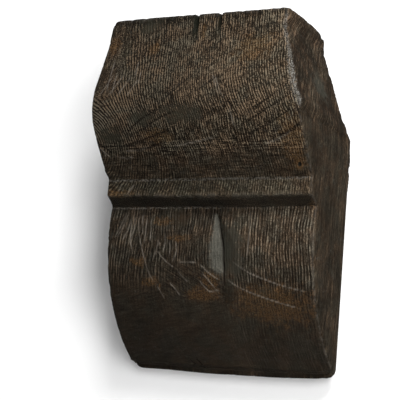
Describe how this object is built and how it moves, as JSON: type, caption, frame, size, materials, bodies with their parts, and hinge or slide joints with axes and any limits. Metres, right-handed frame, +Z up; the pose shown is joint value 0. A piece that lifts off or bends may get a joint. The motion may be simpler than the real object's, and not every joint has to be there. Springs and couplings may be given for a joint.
{
  "type": "beam corbel",
  "caption": "Short carved wooden corbel with a blunt rounded head, a square fillet over a groove, a swept belly and a hewn upper corner.",
  "frame": {"origin": "centre of the flat back, on the wall plane", "axes": "+X to the right along the wall as seen from the front, +Y into the wall, +Z up"},
  "size_m": [0.152, 0.085, 0.23],
  "materials": {
    "dark_oak": "dark brown-black stain over open oak grain, dull sheen, worn paler on the edges"
  },
  "bodies": {
    "root": {"corbel": "dark_oak"}
  },
  "joints": []
}
